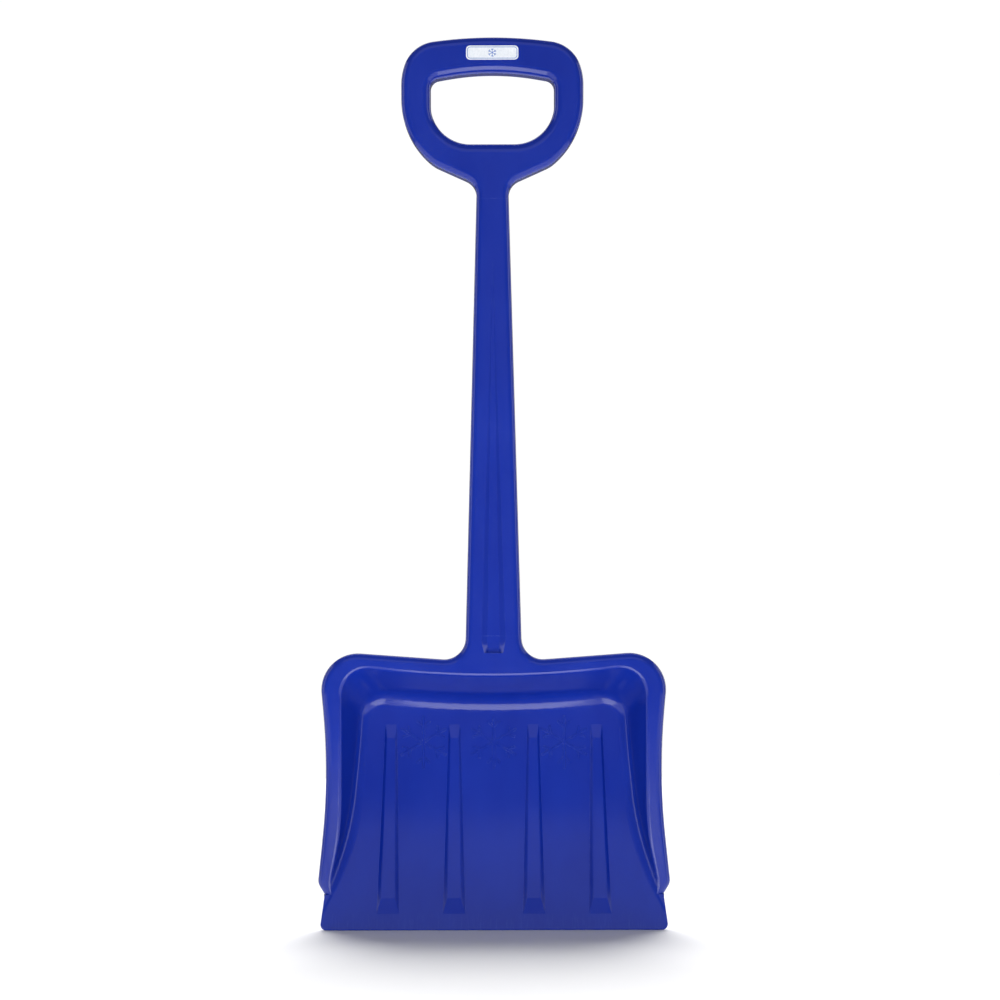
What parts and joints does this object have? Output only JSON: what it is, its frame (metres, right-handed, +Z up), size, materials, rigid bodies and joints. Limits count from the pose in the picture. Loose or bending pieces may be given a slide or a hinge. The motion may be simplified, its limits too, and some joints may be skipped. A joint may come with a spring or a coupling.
{
  "type": "snow shovel",
  "caption": "Small blue plastic snow shovel with a deep rimmed scoop, raised beads and snow crystals on its floor, a fluted tapering shaft and a D grip.",
  "frame": {"origin": "middle of the cutting edge's flat underside, on the ground", "axes": "+Z up along the shaft, +X to the user's right as the scooping side is seen, -Y out of the scooping side"},
  "size_m": [0.2694, 0.0527, 0.6816],
  "materials": {
    "blue_plastic": "glossy moulded polypropylene",
    "screw_steel": "zinc plated",
    "badge_film": "glossy printed film"
  },
  "bodies": {
    "root": {"scoop": "blue_plastic", "shaft": "blue_plastic", "grip": "blue_plastic", "scoop_screws": "screw_steel", "grip_screws": "screw_steel", "badge": "badge_film"}
  },
  "joints": []
}
